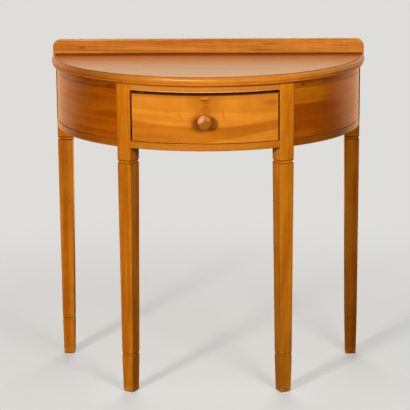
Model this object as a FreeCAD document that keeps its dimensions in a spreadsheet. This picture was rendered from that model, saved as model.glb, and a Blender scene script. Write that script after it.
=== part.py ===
import FreeCAD, Part
import math
import os
import re
import Sketcher

# Half-round hall table with one bow-fronted drawer. All sizes are in millimetres.
# Every sub-part is drawn about the centre of the top's arc: x to the right, y to the back and
# z up from the ground, with the straight back edge of the top on y = 0. Its placement then
# moves it back by arc_centre, so that the origin is under the middle of the whole table.

doc = FreeCAD.newDocument("demilune_table")

SIZES = (
    ("top_radius", 400, "nose of the half-round top"),
    ("top_height", 800, "ground to the top's surface"),
    ("top_thickness", 21, "top board"),
    ("rim_width", 9.5, "upper round of the rim"),
    ("rim_quirk", 1.8, "step between the flat and the upper round"),
    ("rim_under", 7, "lower round of the rim"),
    ("rim_fillet", 3, "flat below the lower round, behind the nose"),
    ("upstand_inset", 1, "gallery board's ends inside the top's nose"),
    ("upstand_thickness", 18, "gallery board"),
    ("upstand_rise", 36, "gallery board above the top's surface"),
    ("upstand_corner", 20, "rounded top corners of the gallery board"),
    ("upstand_arris", 4, "rounded front edge of the gallery board"),
    ("top_overhang", 12, "nose of the top past the aprons"),
    ("apron_height", 157.5, "underside of the top to the lower edge"),
    ("upper_rail", 17, "height of the upper rails"),
    ("lower_rail", 17, "height of the lower rails"),
    ("rail_thickness", 18, "apron rails, front to back"),
    ("panel_thickness", 13, "apron panels"),
    ("panel_recess", 0.3, "apron panels behind the rails' faces"),
    ("panel_joint", 1.2, "open joint line under and behind the apron panels"),
    ("panel_fit", 0.4, "joint line over and in front of the apron panels"),
    ("tongue_thickness", 5, "tongues of the apron panels"),
    ("tongue_length", 4, "tongues of the apron panels into the rails"),
    ("groove_spare", 0.3, "room past the tongues"),
    ("front_rail_width", 72, "front rails at the middle, front to back"),
    ("back_rail_thickness", 20, "back rail"),
    ("back_rail_inset", 4, "back rail in front of the back legs' rear faces"),
    ("edge_round", 0.8, "eased edges of rails, panels and drawer"),
    ("leg_size", 38, "square of the legs above the collar"),
    ("foot_size", 30, "square of the legs at the ground, but for the feet's own taper"),
    ("front_leg_angle", 30.4, "front legs from straight ahead, in degrees"),
    ("leg_proud", 0.8, "front legs' faces past the aprons"),
    ("leg_arris", 1.2, "rounded corners of the legs"),
    ("foot_chamfer", 3, "bevel at the ground"),
    ("collar_drop", 36.5, "collar cove below the aprons"),
    ("collar_width", 8, "collar cove, up the leg"),
    ("collar_depth", 2.2, "collar cove"),
    ("ankle_height", 98.5, "ankle cove above the ground"),
    ("ankle_width", 6, "ankle cove, up the leg"),
    ("ankle_depth", 1.6, "ankle cove"),
    ("toe_taper", 1.5, "feet below the ankle, each face at the ground"),
    ("dowel_diameter", 8, "dowels of the rails"),
    ("dowel_length", 30, "dowels of the rails"),
    ("fit_gap", 0.1, "room round dowels, screws, tongues and bent glue joints"),
    ("rail_dowel_margin", 9, "outer dowel of a front rail behind its face"),
    ("rail_dowel_pitch", 15, "between the two dowels at a front rail's end"),
    ("tenon_thickness", 10, "back rail's tenons"),
    ("tenon_length", 22, "back rail's tenons"),
    ("tenon_shoulder", 15, "back rail's tenons below and above"),
    ("housing_depth", 6, "ends of runners and kickers let into the rails"),
    ("runner_width", 20, "drawer runners and kickers"),
    ("guide_width", 12, "drawer side guides"),
    ("guide_height", 25, "drawer side guides above the runners"),
    ("guide_clearance", 0.8, "drawer sides to their guides"),
    ("run_gap", 0.3, "drawer to runners and stops"),
    ("stop_length", 30, "drawer stops, side to side"),
    ("stop_width", 12, "drawer stops, front to back"),
    ("stop_height", 6, "drawer stops"),
    ("stop_margin", 35, "drawer stops to the drawer sides"),
    ("block_size", 25, "blocks under the top"),
    ("block_length", 50, "blocks under the top"),
    ("back_block_margin", 55, "back blocks to the back legs"),
    ("side_block_angle", 62, "side blocks from straight ahead, in degrees"),
    ("screw_diameter", 4, "wood screws"),
    ("screw_head", 8, "wood screws' countersunk heads"),
    ("top_screw_length", 30, "screws of the top"),
    ("kicker_screw_margin", 65, "screws of the kickers to the rails"),
    ("upstand_screw_length", 45, "screws of the gallery board"),
    ("upstand_screw_margin", 80, "outer screws of the gallery board to its ends"),
    ("drawer_gap_top", 5.5, "drawer front to the upper rail"),
    ("drawer_gap_bottom", 1.5, "drawer front to the lower rail"),
    ("drawer_gap_side", 5, "drawer front to the legs"),
    ("drawer_leg_gap", 4, "drawer sides to the legs' inner corners"),
    ("drawer_front_thickness", 22, "bowed drawer front"),
    ("drawer_side_thickness", 12, "drawer sides"),
    ("drawer_back_thickness", 12, "drawer back"),
    ("drawer_back_clear", 14, "drawer sides to the back rail"),
    ("drawer_back_setback", 10, "drawer back in front of the sides' ends"),
    ("drawer_back_drop", 8, "drawer back below the sides' upper edges"),
    ("dovetail_length", 9, "tongues of the drawer sides into the front"),
    ("dovetail_neck", 3, "dovetail shoulder at its neck"),
    ("dovetail_tip", 1, "dovetail shoulder at its tip"),
    ("bottom_thickness", 5, "drawer bottom"),
    ("bottom_raise", 9, "drawer bottom above the sides' lower edges"),
    ("bottom_groove", 5, "grooves of the drawer bottom, depth"),
    ("bottom_play", 0.3, "room round the drawer bottom in its grooves"),
    ("back_housing", 4, "drawer back let into the sides"),
    ("pin_diameter", 3, "screws of the drawer bottom"),
    ("pin_head", 6, "screws of the drawer bottom, heads"),
    ("pin_length", 20, "screws of the drawer bottom"),
    ("pin_margin", 50, "outer screws of the drawer bottom to the sides"),
    ("knob_drop", 3.5, "knob below the middle of the drawer front"),
    ("knob_diameter", 35, "face of the knob"),
    ("knob_projection", 27, "knob in front of the drawer"),
    ("knob_base", 20, "foot of the knob"),
    ("knob_base_height", 2.5, "foot of the knob"),
    ("knob_neck", 15, "waist of the knob"),
    ("knob_neck_place", 8, "waist of the knob from the drawer front"),
    ("knob_rim_radius", 3.5, "rounded rim of the knob"),
    ("knob_dome", 2, "rise of the knob's face"),
    ("knob_screw_diameter", 4.5, "machine screw of the knob"),
    ("knob_screw_head", 9, "machine screw of the knob, head"),
    ("knob_screw_head_height", 3, "machine screw of the knob, head"),
    ("knob_screw_grip", 14, "machine screw into the knob"),
    ("knob_seat", 0.5, "flat seats of the knob and its screw in the bowed front"),
)

LAYOUT = (
    ("knob_front", "top_radius - top_overhang - knob_seat + knob_projection", "face of the knob, forwards"),
    ("arc_centre", "(max(top_radius; knob_front) - upstand_thickness) / 2", "arc's centre behind the middle"),
    ("upstand_half", "top_radius - upstand_inset", "ends of the gallery board"),
    ("upstand_screw_pitch", "(upstand_half - upstand_screw_margin) / 2", "between the gallery's screws"),
    ("underside", "top_height - top_thickness", "lower face of the top"),
    ("rim_drop", "sqrt(rim_under ^ 2 - (rim_under - rim_fillet) ^ 2)", "nose to the end of the lower round"),
    ("apron_bottom", "underside - apron_height", "lower edge of the aprons"),
    ("apron_radius", "top_radius - top_overhang", "outer face of the aprons"),
    ("apron_inner", "apron_radius - rail_thickness", "inner face of the apron rails"),
    ("half_leg", "leg_size / 2", "from a leg's middle to its faces"),
    ("leg_radius", "apron_radius + leg_proud - half_leg", "middle of the front legs"),
    ("back_leg_x", "apron_radius - half_leg", "middle of the back legs"),
    ("collar_height", "apron_bottom - collar_drop", "middle of the collar cove"),
    ("ankle_ratio", "ankle_height / collar_height", "way up the taper at the ankle cove"),
    ("collar_radius", "collar_width ^ 2 / (8 * collar_depth) + collar_depth / 2", "round of the collar cove"),
    ("ankle_radius", "ankle_width ^ 2 / (8 * ankle_depth) + ankle_depth / 2", "round of the ankle cove"),
    ("leg_corner_x", "(leg_radius - half_leg) * sin(front_leg_angle) - half_leg * cos(front_leg_angle)",
     "inner rear corner of a front leg, sideways"),
    ("leg_corner_y", "(leg_radius - half_leg) * cos(front_leg_angle) + half_leg * sin(front_leg_angle)",
     "inner rear corner of a front leg, forwards"),
    ("runner_top", "apron_bottom + lower_rail", "top of the lower rails and runners"),
    ("kicker_low", "underside - upper_rail", "lower face of the upper rails and kickers"),
    ("rail_back", "apron_radius - front_rail_width", "rear edge of the front rails, forwards"),
    ("back_rail_face", "back_rail_inset + back_rail_thickness", "front face of the back rail, forwards"),
    ("panel_face", "apron_radius - panel_recess", "outer face of the apron panels"),
    ("tongue_face", "panel_face - (panel_thickness - tongue_thickness) / 2", "outer face of their tongues"),
    ("apron_dowel", "apron_radius - rail_thickness / 2", "apron rail dowels from the arc's centre"),
    ("back_dowel_x", "sqrt(apron_dowel ^ 2 - leg_size ^ 2)", "apron rail dowels in the back legs"),
    ("drawer_half", "leg_corner_x - drawer_leg_gap", "outer faces of the drawer sides"),
    ("drawer_inner", "drawer_half - drawer_side_thickness", "inner faces of the drawer sides"),
    ("drawer_low", "runner_top + drawer_gap_bottom", "lower edge of the drawer front"),
    ("drawer_high", "kicker_low - drawer_gap_top", "upper edge of the drawer front and sides"),
    ("side_low", "runner_top + run_gap", "lower edges of the drawer sides"),
    ("side_end", "back_rail_face + drawer_back_clear", "rear ends of the drawer sides, forwards"),
    ("drawer_end", "side_end + drawer_back_setback", "rear face of the drawer back, forwards"),
    ("bottom_low", "side_low + bottom_raise", "lower face of the drawer bottom"),
    ("bottom_high", "bottom_low + bottom_thickness", "upper face of the drawer bottom"),
    ("front_inner", "apron_radius - drawer_front_thickness", "inner face of the drawer front"),
    ("shoulder", "front_inner - fit_gap", "front ends of the drawer sides from the arc's centre"),
    ("dovetail_end", "sqrt(front_inner ^ 2 - drawer_inner ^ 2) + dovetail_length", "dovetail tips, forwards"),
    ("guide_inner", "drawer_half + guide_clearance", "inner faces of the side guides"),
    ("runner_inner", "guide_inner - runner_width", "inner faces of runners and kickers"),
    ("stop_outer", "drawer_inner - stop_margin", "outer ends of the drawer stops"),
    ("stop_face", "sqrt(front_inner ^ 2 - stop_outer ^ 2) - run_gap", "front of the drawer stops, forwards"),
    ("pin_pitch", "drawer_inner - pin_margin", "between the screws of the drawer bottom"),
    ("back_block_outer", "apron_radius - leg_size - back_block_margin", "outer ends of the back blocks"),
    ("knob_height", "(drawer_low + drawer_high) / 2 - knob_drop", "middle of the knob"),
    ("side_block_middle", "apron_inner - block_size / 2", "side blocks from the arc's centre"),
    ("side_block_half", "180 / pi * block_length / 2 / side_block_middle", "half the angle of a side block"),
)

owner = {}


def formula(text, home=None):
    """The text with every named size led by its sheet's name, except the names of the home sheet."""
    def lead(word):
        name = word.group()
        if owner.get(name) in (None, home):
            return name
        return owner[name] + "." + name
    return re.sub(r"[a-z]\w*", lead, text)


def add_sheet(sheet_name, rows):
    """A sheet with one row for each size: its name, its number or formula, and what it is."""
    sheet = doc.addObject("Spreadsheet::Sheet", sheet_name)
    for row, (name, content, note) in enumerate(rows, start=1):
        plain = isinstance(content, (int, float))
        text = str(content) if plain else "=" + formula(content, sheet_name)
        sheet.set("A%d" % row, name)
        sheet.set("B%d" % row, text)
        sheet.setAlias("B%d" % row, name)
        sheet.set("C%d" % row, note)
        owner[name] = sheet_name
    doc.recompute()
    return sheet


sizes = add_sheet("Sizes", SIZES)
layout = add_sheet("Layout", LAYOUT)


def number(text):
    """The present value of a formula."""
    return float(layout.evalExpression(formula(text)))


def bind(feature, **formulas):
    """Ties properties to formulas. A double underscore stands for the dot in a property's path."""
    for path, text in formulas.items():
        feature.setExpression(path.replace("__", "."), formula(text))


nodes = []


def add_body(label, scattered=False):
    """An empty sub-part. A scattered one holds several like solids."""
    body = doc.addObject("PartDesign::Body", label)
    body.Label = label
    body.AllowCompound = scattered
    bind(body, Placement__Base__y="arc_centre")
    nodes.append(body)
    return body


def attach(feature, body, role):
    """Sets a sketch or a primitive on one of its own body's origin planes."""
    plane = next(item for item in body.Origin.OriginFeatures if item.Role == role)
    feature.AttachmentSupport = [(plane, "")]
    feature.MapMode = "FlatFace"


def pin(sketch, piece, end, x, y):
    """Holds one end of a sketch's line or arc at a place given by two formulas."""
    for kind, axis, text in (("DistanceX", -2, x), ("DistanceY", -1, y)):
        if text == "0":
            sketch.addConstraint(Sketcher.Constraint("PointOnObject", piece, end, axis))
            continue
        index = sketch.addConstraint(Sketcher.Constraint(kind, -1, 1, piece, end, number(text)))
        sketch.setExpression("Constraints[%d]" % index, formula(text))


def add_sketch(body, name, role, height="0"):
    """An empty sketch, that far above one of its body's origin planes."""
    sketch = body.newObject("Sketcher::SketchObject", name)
    attach(sketch, body, role)
    bind(sketch, AttachmentOffset__Base__z=height)
    return sketch


def draw_arc(sketch, piece, start, end, turn, text):
    """An arc of less than half a turn from start to end, bending to the left or the right."""
    radius = number(text)
    chord = end - start
    reach = math.sqrt(max(radius ** 2 - chord.Length ** 2 / 4, 0))
    across = FreeCAD.Vector(-chord.y, chord.x, 0).normalize()
    centre = (start + end) / 2 + across * (reach if turn == "left" else -reach)
    first, last = (start, end) if turn == "left" else (end, start)
    angles = [math.atan2(spot.y - centre.y, spot.x - centre.x) for spot in (first, last)]
    if angles[1] < angles[0]:
        angles[1] += 2 * math.pi
    circle = Part.Circle(centre, FreeCAD.Vector(0, 0, 1), radius)
    sketch.addGeometry(Part.ArcOfCircle(circle, *angles), False)
    index = sketch.addConstraint(Sketcher.Constraint("Radius", piece, radius))
    sketch.setExpression("Constraints[%d]" % index, formula(text))


def draw_loop(sketch, corners):
    """A closed line. A corner is (x, y), or (x, y, turn, radius) where an arc leads to the next one."""
    base = sketch.GeometryCount
    spots = [FreeCAD.Vector(number(corner[0]), number(corner[1]), 0) for corner in corners]
    ends = []
    for count, corner in enumerate(corners):
        start, end = spots[count], spots[(count + 1) % len(spots)]
        if len(corner) == 2:
            sketch.addGeometry(Part.LineSegment(start, end), False)
            ends.append((1, 2))
        else:
            draw_arc(sketch, base + count, start, end, corner[2], corner[3])
            ends.append((1, 2) if corner[2] == "left" else (2, 1))
    for count, corner in enumerate(corners):
        after = (count + 1) % len(corners)
        meeting = (base + count, ends[count][1], base + after, ends[after][0])
        sketch.addConstraint(Sketcher.Constraint("Coincident", *meeting))
        pin(sketch, base + count, ends[count][0], corner[0], corner[1])


def draw_circle(sketch, x, y, text):
    """A circle about a place given by two formulas."""
    centre = FreeCAD.Vector(number(x), number(y), 0)
    piece = sketch.addGeometry(Part.Circle(centre, FreeCAD.Vector(0, 0, 1), number(text)), False)
    index = sketch.addConstraint(Sketcher.Constraint("Radius", piece, number(text)))
    sketch.setExpression("Constraints[%d]" % index, formula(text))
    pin(sketch, piece, 3, x, y)


def add_outline(body, name, role, corners, height="0"):
    """A sketch of one closed line."""
    sketch = add_sketch(body, name, role, height)
    draw_loop(sketch, corners)
    return sketch


def rectangle(x_low, x_high, y_low, y_high):
    """The corners of a plain rectangle."""
    return [(x_low, y_low), (x_high, y_low), (x_high, y_high), (x_low, y_high)]


def rounded(x_low, x_high, y_low, y_high, radius):
    """The corners of a rectangle with four rounded corners."""
    left, right = "%s + %s" % (x_low, radius), "%s - %s" % (x_high, radius)
    low, high = "%s + %s" % (y_low, radius), "%s - %s" % (y_high, radius)
    return [(left, y_low), (right, y_low, "left", radius), (x_high, low), (x_high, high, "left", radius),
            (right, y_high), (left, y_high, "left", radius), (x_low, high), (x_low, low, "left", radius)]


def mirrored(corners, side):
    """The corners as they are on the right, or turned over for the left."""
    if side > 0:
        return corners
    swap = {"left": "right", "right": "left"}
    return [("-(%s)" % corner[0], corner[1]) if len(corner) == 2
            else ("-(%s)" % corner[0], corner[1], swap[corner[2]], corner[3]) for corner in corners]


def pad(body, sketch, length):
    """Raises a sketch into a solid."""
    feature = body.newObject("PartDesign::Pad", sketch.Name + "_pad")
    feature.Profile = sketch
    bind(feature, Length=length)


def pocket(body, sketch, depth, both_ways=False):
    """Cuts a sketch into a solid, upwards from its plane or half the depth to either side."""
    feature = body.newObject("PartDesign::Pocket", sketch.Name + "_cut")
    feature.Refine = False
    feature.Profile = sketch
    feature.Reversed = True
    feature.SideType = "Symmetric" if both_ways else "One side"
    bind(feature, Length=depth)


def block(body, kind, name, x_low, x_high, y_low, y_high, z_low, z_high):
    """Adds or takes away a box: kind is Additive or Subtractive."""
    feature = body.newObject("PartDesign::%sBox" % kind, name)
    feature.Refine = kind == "Additive"
    attach(feature, body, "XY_Plane")
    bind(feature, AttachmentOffset__Base__x=x_low, AttachmentOffset__Base__y=y_low,
         AttachmentOffset__Base__z=z_low, Length="(%s) - (%s)" % (x_high, x_low),
         Width="(%s) - (%s)" % (y_high, y_low), Height="(%s) - (%s)" % (z_high, z_low))


PLANES = {"X": "YZ_Plane", "Y": "XZ_Plane", "Z": "XY_Plane"}


def turned(body, kind, name, axis, x, y, z, length, radius, far_radius=None, turn=None):
    """Adds or takes away a rod, or a cone where it has a far radius, from the point (x, y, z).

    It runs to the right, to the front or upwards, as axis is X, Y or Z, and one along X can be
    turned about the upright by an angle.
    """
    shape = "Cylinder" if far_radius is None else "Cone"
    feature = body.newObject("PartDesign::%s%s" % (kind, shape), name)
    feature.Refine = False
    attach(feature, body, PLANES[axis])
    along = {"X": (y, z, x), "Y": (x, z, "-(%s)" % y), "Z": (x, y, z)}[axis]
    bind(feature, AttachmentOffset__Base__x=along[0], AttachmentOffset__Base__y=along[1],
         AttachmentOffset__Base__z=along[2], Height=length)
    if turn is not None:
        feature.AttachmentOffset = FreeCAD.Placement(
            feature.AttachmentOffset.Base, FreeCAD.Rotation(FreeCAD.Vector(0, 1, 0), number(turn)))
        bind(feature, AttachmentOffset__Rotation__Angle=turn)
    if far_radius is None:
        bind(feature, Radius=radius)
    else:
        bind(feature, Radius1=radius, Radius2=far_radius)


def ease(body, radius, chosen):
    """Rounds those edges of a body for which the test chosen(points) holds, with the edge's ends."""
    doc.recompute()
    base = body.Tip
    names = ["Edge%d" % count for count, edge in enumerate(base.Shape.Edges, start=1)
             if chosen([vertex.Point for vertex in edge.Vertexes])]
    feature = body.newObject("PartDesign::Fillet", "eased")
    feature.Base = (base, names)
    bind(feature, Radius=radius)


def on_arc(radius):
    """A test for edges that lie on an arc about the centre."""
    reach = number(radius)
    return lambda points: all(abs(math.hypot(point.x, point.y) - reach) < 0.01 for point in points)


def lower_edge(radius, height):
    """A test for edges on an arc about the centre and at a height."""
    curved, level = on_arc(radius), number(height)
    return lambda points: curved(points) and all(abs(point.z - level) < 0.01 for point in points)


def steep(points):
    """A test for edges that rise further than a leg is thick."""
    return abs(points[-1].z - points[0].z) > number("leg_size")


def plank(label, corners, low, height):
    """A flat or curved board cut to an outline, lying between two levels."""
    body = add_body(label)
    pad(body, add_outline(body, label + "_outline", "XY_Plane", corners, low), height)
    return body


def at_leg(radius, offset):
    """The point at a radius from the arc's centre, that far outwards beside a right front leg's middle."""
    along = "sqrt((%s) ^ 2 - (%s) ^ 2)" % (radius, offset)
    return beside_leg(along, offset)


def beside_leg(along, offset):
    """The point that far along and that far outwards beside a right front leg's middle line."""
    x = "(%s) * sin(front_leg_angle) + (%s) * cos(front_leg_angle)" % (along, offset)
    y = "(%s) * sin(front_leg_angle) - (%s) * cos(front_leg_angle)" % (offset, along)
    return x, y


def at_back(radius, forwards):
    """The point of an arc on the right, that far in front of the back edge."""
    return "sqrt((%s) ^ 2 - (%s) ^ 2)" % (radius, forwards), "-(%s)" % forwards


def at_angle(radius, angle):
    """The point of an arc at an angle to the right from straight ahead."""
    return "%s * sin(%s)" % (radius, angle), "-%s * cos(%s)" % (radius, angle)


def bent_strip(outer, inner, front_gap="0", back_gap="0"):
    """The corners of a bent strip from a right front leg to the back leg, that much short of each."""
    front, back = "half_leg + " + front_gap, "leg_size + " + back_gap
    return [(*at_leg(outer, front), "left", outer), at_back(outer, back),
            (*at_back(inner, back), "right", inner), at_leg(inner, front)]


SIDES = (("left", -1), ("right", 1))


def signed(side, text):
    """A sideways measure as it is on the right, or turned over for the left."""
    return text if side > 0 else "-(%s)" % text


def spread(side, near, far):
    """A sideways range that lies from near to far on the right, in rising order on either side."""
    return (near, far) if side > 0 else ("-(%s)" % far, "-(%s)" % near)


# Top board: half a turn of its section, its round nose between a quirk above and a flat below
top = add_body("top_board")
top_section = [
    ("0", "underside"),
    ("top_radius - rim_fillet", "underside"),
    ("top_radius - rim_fillet", "top_height - rim_quirk - rim_width - rim_drop", "left", "rim_under"),
    ("top_radius", "top_height - rim_quirk - rim_width", "left", "rim_width"),
    ("top_radius - rim_width", "top_height - rim_quirk"),
    ("top_radius - rim_width", "top_height"),
    ("0", "top_height"),
]
top_sketch = add_outline(top, "top_section", "XZ_Plane", top_section)
top_turn = top.newObject("PartDesign::Revolution", "top_turn")
top_turn.Profile = top_sketch
top_turn.ReferenceAxis = (top_sketch, ["V_Axis"])
top_turn.Angle = 180
top_turn.Reversed = True

# Gallery board: stands behind the top's straight edge, down to its underside
upstand = add_body("back_upstand")
upstand_face = [
    ("-upstand_half", "underside"),
    ("upstand_half", "underside"),
    ("upstand_half", "top_height + upstand_rise - upstand_corner", "left", "upstand_corner"),
    ("upstand_half - upstand_corner", "top_height + upstand_rise"),
    ("upstand_corner - upstand_half", "top_height + upstand_rise", "left", "upstand_corner"),
    ("-upstand_half", "top_height + upstand_rise - upstand_corner"),
]
upstand_sketch = add_outline(upstand, "upstand_face", "XZ_Plane", upstand_face, "-upstand_thickness")
pad(upstand, upstand_sketch, "upstand_thickness")
ease(upstand, "upstand_arris", lambda points: all(abs(point.y) < 0.01 for point in points))

# Screws of the gallery board: from behind into the top's back edge
upstand_screws = add_body("upstand_screws", scattered=True)
for count in range(-2, 3):
    screw_x = "%d * upstand_screw_pitch" % count
    screw_z = "underside + top_thickness / 2"
    for body, kind, room in ((upstand, "Subtractive", "fit_gap"), (top, "Subtractive", "fit_gap"),
                             (upstand_screws, "Additive", "0")):
        turned(body, kind, "shank", "Y", screw_x, "upstand_thickness", screw_z, "upstand_screw_length",
               "screw_diameter / 2 + " + room)
    for body, kind, room in ((upstand, "Subtractive", "fit_gap"), (upstand_screws, "Additive", "0")):
        turned(body, kind, "head", "Y", screw_x, "upstand_thickness", screw_z,
               "(screw_head - screw_diameter) / 2", "screw_head / 2 + " + room,
               "screw_diameter / 2 + " + room)


def foot_and_ankle(face, full):
    """The places of a leg's face at the ground, before the toe's taper, and at the ankle cove."""
    foot = full if face is None else face
    return foot, "%s + (%s - (%s)) * ankle_ratio" % (foot, full, foot)


def add_leg(label, tapered, x, y, turn):
    """A square leg. Tapered holds the places of its four faces at the ground, None for an upright one.

    They stand in the order left, right, front, back.
    """
    square = ("-half_leg", "half_leg", "-half_leg", "half_leg")
    body = plank(label, rectangle(*square), "0", "collar_height")
    pairs = (("XZ_Plane", tapered[:2]), ("YZ_Plane", tapered[2:]))
    ways = (("-half_leg", -1), ("half_leg", 1))
    for plane, faces in pairs:
        tapers = add_sketch(body, label + "_tapers", plane)
        for face, (full, way) in zip(faces, ways):
            if face is not None:
                draw_loop(tapers, [(face, "0"), ("%d * leg_size" % way, "0"), (full, "collar_height")])
        pocket(body, tapers, "2 * leg_size", both_ways=True)
    ease(body, "leg_arris", steep)
    for plane, faces in pairs:
        toes = add_sketch(body, label + "_toes", plane)
        for face, (full, way) in zip(faces, ways):
            foot, ankle = foot_and_ankle(face, full)
            draw_loop(toes, [("%s - (%d) * toe_taper" % (foot, way), "0"), ("%d * leg_size" % way, "0"),
                             (ankle, "ankle_height")])
        pocket(body, toes, "2 * leg_size", both_ways=True)
    head = add_outline(body, label + "_head", "XY_Plane", rounded(*square, "leg_arris"), "collar_height")
    pad(body, head, "underside - collar_height")
    for plane, faces in pairs:
        coves = add_sketch(body, label + "_coves", plane)
        bevels = add_sketch(body, label + "_bevels", plane)
        for face, (full, way) in zip(faces, ways):
            foot, ankle = foot_and_ankle(face, full)
            draw_circle(coves, "%s + (%d) * (collar_radius - collar_depth)" % (full, way),
                        "collar_height", "collar_radius")
            draw_circle(coves, "%s + (%d) * (ankle_radius - ankle_depth)" % (ankle, way),
                        "ankle_height", "ankle_radius")
            inner = "%s - (%d) * (toe_taper + foot_chamfer)" % (foot, way)
            outer = "%s - (%d) * (toe_taper - foot_chamfer)" % (foot, way)
            draw_loop(bevels, [(inner, "0"), (outer, "0"), (outer, "2 * foot_chamfer")])
        pocket(body, coves, "2 * leg_size", both_ways=True)
        pocket(body, bevels, "2 * leg_size", both_ways=True)
    upright = FreeCAD.Vector(0, 0, 1)
    body.Placement = FreeCAD.Placement(FreeCAD.Vector(), FreeCAD.Rotation(upright, number(turn)))
    bind(body, Placement__Base__x=x, Placement__Base__y="arc_centre - (%s)" % y,
         Placement__Rotation__Angle=turn)
    return body


# Legs: the front ones stand square to the arc and keep their front faces upright,
# the back ones stand square to the back edge and keep their outer and rear faces upright.
# Below the ankle cove all four faces of a foot draw in a little
front_legs = {}
back_legs = {}
for hand, side in SIDES:
    front_tapers = ("-foot_size / 2", "foot_size / 2", None, "foot_size - half_leg")
    front_legs[hand] = add_leg("leg_front_" + hand, front_tapers,
                               signed(side, "leg_radius * sin(front_leg_angle)"),
                               "leg_radius * cos(front_leg_angle)", signed(side, "front_leg_angle"))
    inner_face = signed(side, "half_leg - foot_size")
    back_tapers = (inner_face, None) if side > 0 else (None, inner_face)
    back_legs[hand] = add_leg("leg_back_" + hand, (*back_tapers, "half_leg - foot_size", None),
                              signed(side, "back_leg_x"), "half_leg", "0")

# Aprons: on each side a curved upper and lower rail, with a curved panel tongued between them
apron_rails = {}
for hand, side in SIDES:
    rail_corners = bent_strip("apron_radius", "apron_inner")
    groove_corners = bent_strip("tongue_face + fit_gap", "tongue_face - tongue_thickness - fit_gap")
    for level, low, height, groove in (
            ("upper", "kicker_low", "upper_rail", "kicker_low"),
            ("lower", "apron_bottom", "lower_rail", "runner_top - tongue_length - groove_spare")):
        label = "apron_rail_%s_%s" % (level, hand)
        rail = plank(label, mirrored(rail_corners, side), low, height)
        ease(rail, "edge_round", on_arc("apron_radius"))
        groove_sketch = add_outline(rail, label + "_groove", "XY_Plane",
                                    mirrored(groove_corners, side), groove)
        pocket(rail, groove_sketch, "tongue_length + groove_spare")
        apron_rails[level, hand] = rail

    panel_gaps = ("panel_fit", "panel_joint")
    panel_corners = bent_strip("panel_face", "panel_face - panel_thickness", *panel_gaps)
    tongue_corners = bent_strip("tongue_face", "tongue_face - tongue_thickness", *panel_gaps)
    panel = plank("apron_panel_" + hand, mirrored(panel_corners, side), "runner_top + panel_joint",
                  "kicker_low - runner_top - panel_joint - panel_fit")
    ease(panel, "edge_round", lower_edge("panel_face", "runner_top + panel_joint"))
    tongue = add_outline(panel, "apron_panel_%s_tongue" % hand, "XY_Plane", mirrored(tongue_corners, side),
                         "runner_top - tongue_length")
    pad(panel, tongue, "kicker_low - runner_top + 2 * tongue_length")

# Front rails: bowed boards over and under the drawer, between the front legs
rail_along = "(rail_back - half_leg * sin(front_leg_angle)) / cos(front_leg_angle)"
rail_end_front = at_leg("apron_radius", "-half_leg")
rail_end_back = beside_leg(rail_along, "-half_leg")
front_rail_corners = [("-(%s)" % rail_end_front[0], rail_end_front[1], "left", "apron_radius"),
                      rail_end_front, rail_end_back, ("-(%s)" % rail_end_back[0], rail_end_back[1])]
front_rails = {"upper": plank("front_rail_upper", front_rail_corners, "kicker_low", "upper_rail"),
               "lower": plank("front_rail_lower", front_rail_corners, "apron_bottom", "lower_rail")}
for rail in front_rails.values():
    ease(rail, "edge_round", on_arc("apron_radius"))

# Back rail: a plain board tenoned into the back legs
back_rail_end = "apron_radius - leg_size"
back_rail = plank("back_rail", rectangle("-(%s)" % back_rail_end, back_rail_end, "-back_rail_face",
                                         "-back_rail_inset"), "apron_bottom", "apron_height")
tenon_middle = "back_rail_inset + back_rail_thickness / 2"
tenon_range = ("-(%s) - tenon_thickness / 2" % tenon_middle, "tenon_thickness / 2 - (%s)" % tenon_middle)
tenon_levels = ("apron_bottom + tenon_shoulder", "underside - tenon_shoulder")
tenon_reach = back_rail_end + " + tenon_length"
block(back_rail, "Additive", "tenons", "-(%s)" % tenon_reach, tenon_reach, *tenon_range, *tenon_levels)
for hand, side in SIDES:
    mortise_sides = spread(side, "-half_leg", "tenon_length - half_leg")
    mortise_range = ["%s + half_leg" % text for text in tenon_range]
    block(back_legs[hand], "Subtractive", "mortise", *mortise_sides, *mortise_range, *tenon_levels)

# Dowels: one at each end of an apron rail, two at each end of a front rail
dowel_back = "dowel_length / 2 * cos(front_leg_angle)"
apron_dowels = add_body("apron_dowels", scattered=True)
front_rail_dowels = add_body("front_rail_dowels", scattered=True)


def leg_dowel(rail, dowels, hand, side, offset, along, level):
    """A dowel through a front leg's side face, that far from its middle line and along it."""
    x, y = beside_leg(along, offset)
    start_x = "%s - %s" % (signed(side, x), dowel_back)
    start_y = "%s - dowel_length / 2 * sin(%s)" % (y, signed(side, "front_leg_angle"))
    for body, kind, room in ((rail, "Subtractive", "fit_gap"), (dowels, "Additive", "0")):
        turned(body, kind, "dowel", "X", start_x, start_y, level, "dowel_length",
               "dowel_diameter / 2 + " + room, turn=signed(side, "front_leg_angle"))
    turned(front_legs[hand], "Subtractive", "dowel_hole", "X", "%s - dowel_length / 2" % signed(side, offset),
           "leg_radius - (%s)" % along, level, "dowel_length", "dowel_diameter / 2 + fit_gap")


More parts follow.
